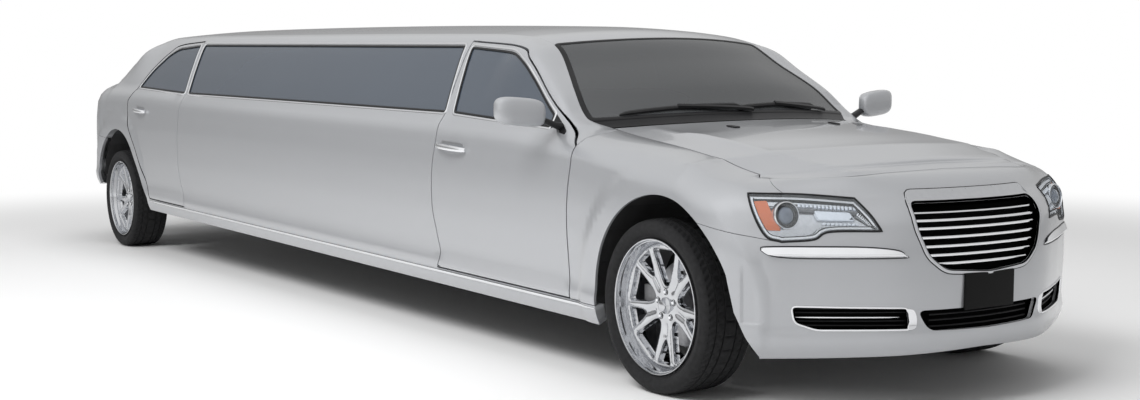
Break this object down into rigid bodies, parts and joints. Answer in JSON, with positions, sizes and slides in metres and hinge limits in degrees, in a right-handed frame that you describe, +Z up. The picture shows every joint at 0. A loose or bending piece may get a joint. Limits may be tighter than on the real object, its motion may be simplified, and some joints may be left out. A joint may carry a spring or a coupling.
{
  "type": "stretch limousine",
  "caption": "Long silver stretch limousine with hinged doors, hood and trunk lid, steered and rolling wheels, slatted grille and tinted side windows.",
  "frame": {"origin": "centre of the bounding box at the road", "axes": "+X forward along the car, +Y to its left, +Z up"},
  "size_m": [8.6406, 2.315, 1.5592],
  "materials": {
    "paint": "silver metallic lacquer",
    "glass": "tinted",
    "chrome": "polished",
    "tyre": "matt",
    "black": "satin black",
    "lamp": "clear lens",
    "lamp_red": "red lens",
    "steel": "bare and painted steel",
    "leather": "black leather"
  },
  "bodies": {
    "body": {"body_side_left": "paint", "body_side_right": "paint", "cowl": "black", "dashboard": "black", "engine": "steel", "exhaust": "steel", "fender_left": "paint", "fender_right": "paint", "floor_pan": "black", "front_bumper": "paint", "front_frame_left": "black", "front_frame_right": "black", "front_seats": "leather", "grille": "chrome", "headlamp_left": "lamp", "headlamp_right": "lamp", "inner_sill_left": "black", "inner_sill_right": "black", "lower_grille": "black", "partition": "black", "rear_axle": "steel", "rear_bumper": "paint", "rear_seat": "leather", "rear_wheelhouse_left": "black", "rear_wheelhouse_right": "black", "rear_window": "glass", "roof": "paint", "side_glass_left": "glass", "side_glass_right": "glass", "subframe": "steel", "taillamp_left": "lamp_red", "taillamp_right": "lamp_red", "trunk_floor": "black", "windshield": "glass"},
    "front_door_left": {"front_door_left": "paint", "front_door_glass_left": "glass", "mirror_left": "paint"},
    "rear_door_left": {"rear_door_left": "paint", "rear_door_glass_left": "glass"},
    "knuckle_left": {"knuckle_left": "steel"},
    "wheel_front_left": {"tyre_front_left": "tyre", "rim_front_left": "chrome"},
    "wheel_rear_left": {"tyre_rear_left": "tyre", "rim_rear_left": "chrome"},
    "front_door_right": {"front_door_right": "paint", "front_door_glass_right": "glass", "mirror_right": "paint"},
    "rear_door_right": {"rear_door_right": "paint", "rear_door_glass_right": "glass"},
    "knuckle_right": {"knuckle_right": "steel"},
    "wheel_front_right": {"tyre_front_right": "tyre", "rim_front_right": "chrome"},
    "wheel_rear_right": {"tyre_rear_right": "tyre", "rim_rear_right": "chrome"},
    "hood": {"hood": "paint"},
    "trunk_lid": {"trunk_lid": "paint"}
  },
  "joints": [
    {"name": "front_door_left_hinge", "type": "hinge", "parent": "body", "child": "front_door_left", "pos_m": [2.87762, 0.91283, 0.63267], "axis": [-0.0137, 0, -0.9999], "range_deg": [0, 65]},
    {"name": "rear_door_left_hinge", "type": "hinge", "parent": "body", "child": "rear_door_left", "pos_m": [-1.78954, 0.91283, 0.69661], "axis": [-0.0137, 0, -0.9999], "range_deg": [0, 65]},
    {"name": "steer_left", "type": "hinge", "parent": "body", "child": "knuckle_left", "pos_m": [3.40516, 0.735, 0.35], "axis": [0, 0, 1], "range_deg": [-33, 33]},
    {"name": "wheel_front_left_spin", "type": "hinge", "parent": "knuckle_left", "child": "wheel_front_left", "pos_m": [3.40516, 0.805, 0.35], "axis": [0, 1, 0], "continuous": true},
    {"name": "wheel_rear_left_spin", "type": "hinge", "parent": "body", "child": "wheel_rear_left", "pos_m": [-3.20284, 0.805, 0.35], "axis": [0, 1, 0], "continuous": true},
    {"name": "front_door_right_hinge", "type": "hinge", "parent": "body", "child": "front_door_right", "pos_m": [2.87762, -0.91283, 0.63267], "axis": [0.0137, 0, 0.9999], "range_deg": [0, 65]},
    {"name": "rear_door_right_hinge", "type": "hinge", "parent": "body", "child": "rear_door_right", "pos_m": [-1.78954, -0.91283, 0.69661], "axis": [0.0137, 0, 0.9999], "range_deg": [0, 65]},
    {"name": "steer_right", "type": "hinge", "parent": "body", "child": "knuckle_right", "pos_m": [3.40516, -0.735, 0.35], "axis": [0, 0, 1], "range_deg": [-33, 33]},
    {"name": "wheel_front_right_spin", "type": "hinge", "parent": "knuckle_right", "child": "wheel_front_right", "pos_m": [3.40516, -0.805, 0.35], "axis": [0, 1, 0], "continuous": true},
    {"name": "wheel_rear_right_spin", "type": "hinge", "parent": "body", "child": "wheel_rear_right", "pos_m": [-3.20284, -0.805, 0.35], "axis": [0, 1, 0], "continuous": true},
    {"name": "hood_hinge", "type": "hinge", "parent": "body", "child": "hood", "pos_m": [2.77262, 0, 1.03443], "axis": [0, -1, 0], "range_deg": [0, 50]},
    {"name": "trunk_hinge", "type": "hinge", "parent": "body", "child": "trunk_lid", "pos_m": [-3.5014, 0, 1.21216], "axis": [0, 1, 0], "range_deg": [0, 70]}
  ],
  "couplings": [
    {"joint": "steer_right", "follows": "steer_left", "ratio": 1}
  ]
}
